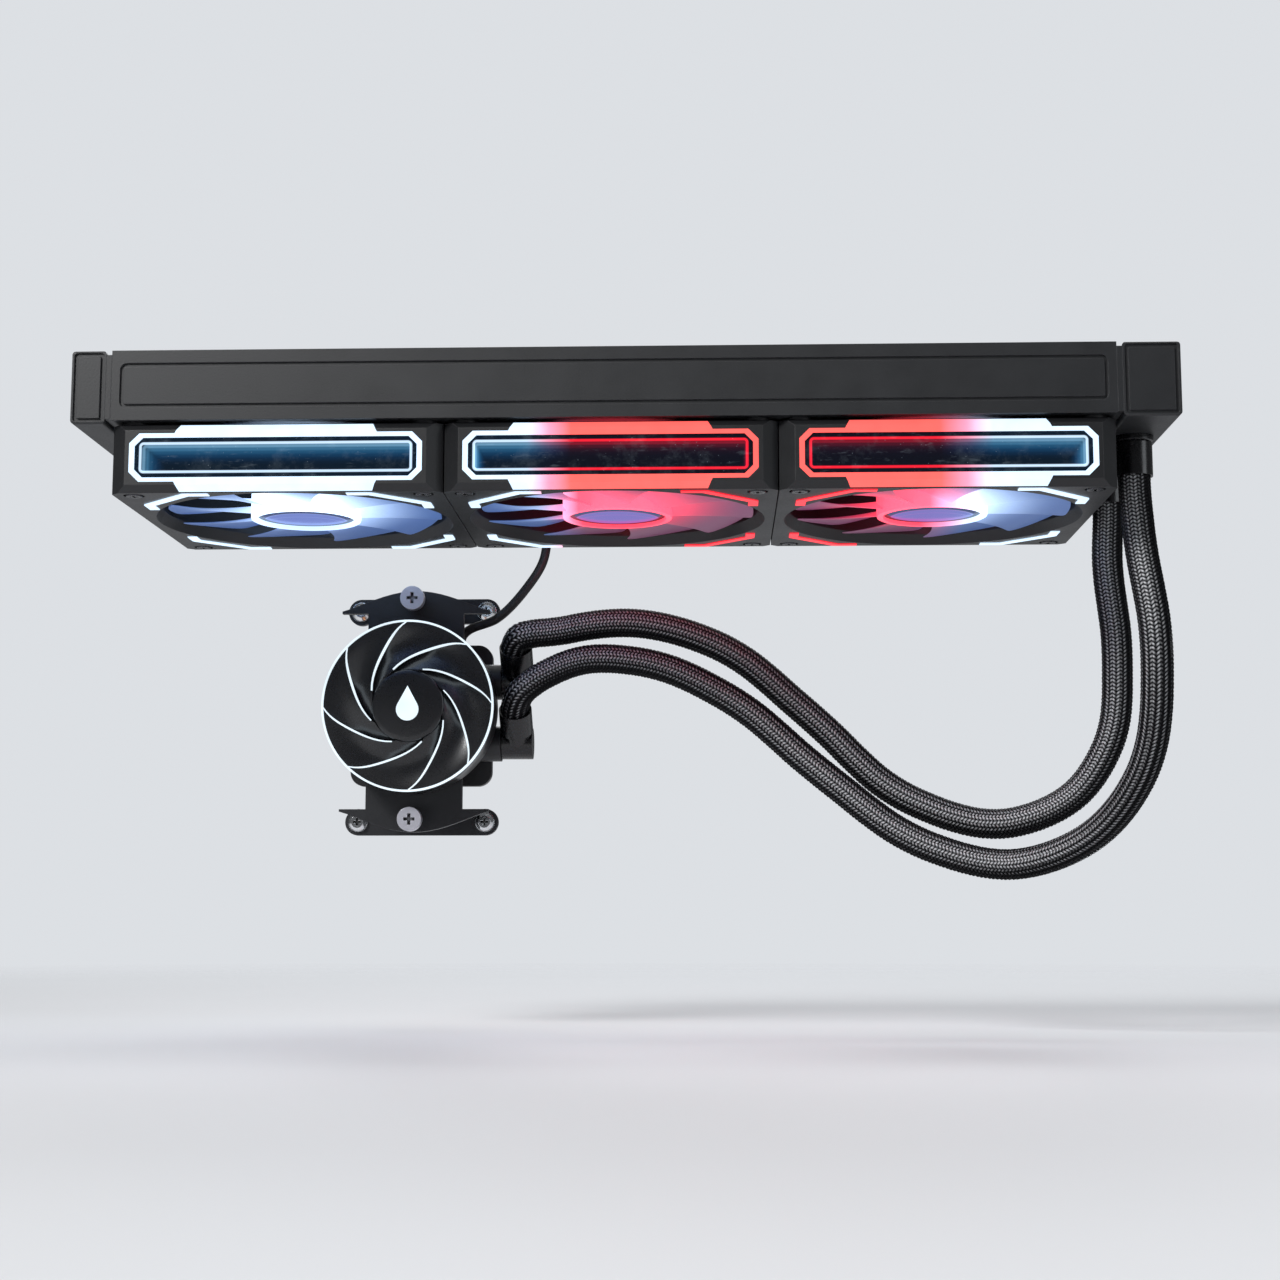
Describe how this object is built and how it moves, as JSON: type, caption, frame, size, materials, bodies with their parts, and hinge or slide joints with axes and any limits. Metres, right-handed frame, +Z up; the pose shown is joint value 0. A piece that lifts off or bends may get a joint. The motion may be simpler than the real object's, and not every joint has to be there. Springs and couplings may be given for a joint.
{
  "type": "liquid cooling radiator",
  "caption": "Slim finned radiator with lit fans below it, joined by braided hoses to a round pump head that bolts over a processor: a sealed liquid cooling loop.",
  "frame": {"origin": "centre of the middle group of case screw holes, on the radiator's top face", "axes": "+Z up, out of the radiator's top face and away from the fans; +X along the radiator towards the hose ports; +Y away from the viewer, towards the processor's board"},
  "size_m": [0.3982, 0.176, 0.1884],
  "materials": {
    "radiator_paint": "fine-grained black paint",
    "core_paint": "thin black paint on aluminium",
    "port_plastic": "glossy black moulding",
    "plug_steel": "blackened steel",
    "fan_frame_plastic": "satin black moulding",
    "blade_plastic": "frosted and translucent, lit from the hub",
    "mirror_plastic": "dark half-silvered panel",
    "magnet": "bonded magnet",
    "polished_steel": "ground steel",
    "bearing_bronze": "oil-filled bronze",
    "copper_winding": "enamelled copper wire",
    "circuit_board": "green solder mask",
    "light_guide": "lit from inside",
    "black_screw": "blackened steel",
    "cable_rubber": "black cable jacket",
    "hose_rubber": "black rubber",
    "braid": "black braided nylon with a slight sheen",
    "copper": "machined copper",
    "pump_plastic": "satin black moulding",
    "bracket_paint": "black powder coat",
    "impeller_plastic": "cream moulding",
    "ceramic": "polished ceramic",
    "cover_plastic": "glossy black moulding",
    "zinc_steel": "zinc-plated steel",
    "nut_chrome": "bright plating",
    "screw_steel": "black nickel plating, worn at the edges",
    "spring_steel": "bright spring wire"
  },
  "bodies": {
    "cooler": {"side_rails": "radiator_paint", "header_plates": "radiator_paint", "coolant_tubes": "core_paint", "cooling_fins": "core_paint", "return_tank": "radiator_paint", "port_tank": "radiator_paint", "hose_ports": "port_plastic", "fill_plug": "plug_steel", "fan_1_frame": "fan_frame_plastic", "fan_2_frame": "fan_frame_plastic", "fan_3_frame": "fan_frame_plastic", "fan_bearings": "bearing_bronze", "fan_stators": "copper_winding", "fan_boards": "circuit_board", "fan_corner_lights": "light_guide", "fan_side_lights": "light_guide", "fan_mirror_windows": "mirror_plastic", "fan_screws": "black_screw", "fan_cable": "cable_rubber", "near_hose_tube": "hose_rubber", "near_hose_sleeve": "braid", "far_hose_tube": "hose_rubber", "far_hose_sleeve": "braid", "radiator_collars": "port_plastic", "cold_plate": "copper", "plate_seal": "hose_rubber", "pump_base": "pump_plastic", "pump_housing": "pump_plastic", "pump_bracket": "bracket_paint", "impeller_shaft": "ceramic", "pump_stator": "copper_winding", "pump_board": "circuit_board", "pump_cover": "cover_plastic", "cover_light": "light_guide", "cover_emblem": "light_guide", "mounting_bars": "bracket_paint", "standoffs": "zinc_steel", "bar_nuts": "nut_chrome", "upper_spring": "spring_steel", "lower_spring": "spring_steel", "pump_cable": "cable_rubber"},
    "fan_1_rotor_set": {"fan_1_rotor": "blade_plastic", "fan_1_hub_cap": "mirror_plastic", "fan_1_magnet_ring": "magnet", "fan_1_shaft": "polished_steel"},
    "fan_2_rotor_set": {"fan_2_rotor": "blade_plastic", "fan_2_hub_cap": "mirror_plastic", "fan_2_magnet_ring": "magnet", "fan_2_shaft": "polished_steel"},
    "fan_3_rotor_set": {"fan_3_rotor": "blade_plastic", "fan_3_hub_cap": "mirror_plastic", "fan_3_magnet_ring": "magnet", "fan_3_shaft": "polished_steel"},
    "impeller": {"impeller": "impeller_plastic"},
    "upper_elbow": {"upper_elbow": "port_plastic", "upper_elbow_collar": "port_plastic"},
    "lower_elbow": {"lower_elbow": "port_plastic", "lower_elbow_collar": "port_plastic"},
    "upper_spring_screw": {"upper_spring_screw": "screw_steel"},
    "lower_spring_screw": {"lower_spring_screw": "screw_steel"}
  },
  "joints": [
    {"name": "fan_1_spin", "type": "hinge", "parent": "cooler", "child": "fan_1_rotor_set", "pos_m": [-0.12, 0, -0.04], "axis": [0, 0, 1], "continuous": true},
    {"name": "fan_2_spin", "type": "hinge", "parent": "cooler", "child": "fan_2_rotor_set", "pos_m": [0, 0, -0.04], "axis": [0, 0, 1], "continuous": true},
    {"name": "fan_3_spin", "type": "hinge", "parent": "cooler", "child": "fan_3_rotor_set", "pos_m": [0.12, 0, -0.04], "axis": [0, 0, 1], "continuous": true},
    {"name": "impeller_spin", "type": "hinge", "parent": "cooler", "child": "impeller", "pos_m": [-0.0875, 0.08, -0.1175], "axis": [0, -1, 0], "continuous": true},
    {"name": "upper_elbow_swivel", "type": "hinge", "parent": "cooler", "child": "upper_elbow", "pos_m": [-0.0455, 0.085, -0.1045], "axis": [1, 0, 0], "range_deg": [-12, 12], "deforming": ["far_hose_tube", "far_hose_sleeve"]},
    {"name": "lower_elbow_swivel", "type": "hinge", "parent": "cooler", "child": "lower_elbow", "pos_m": [-0.0455, 0.085, -0.1305], "axis": [1, 0, 0], "range_deg": [-12, 12], "deforming": ["near_hose_tube", "near_hose_sleeve"]},
    {"name": "upper_screw_lift", "type": "slide", "parent": "cooler", "child": "upper_spring_screw", "axis": [0, -1, 0], "range_m": [0, 0.006], "deforming": ["upper_spring"]},
    {"name": "lower_screw_lift", "type": "slide", "parent": "cooler", "child": "lower_spring_screw", "axis": [0, -1, 0], "range_m": [0, 0.006], "deforming": ["lower_spring"]}
  ]
}
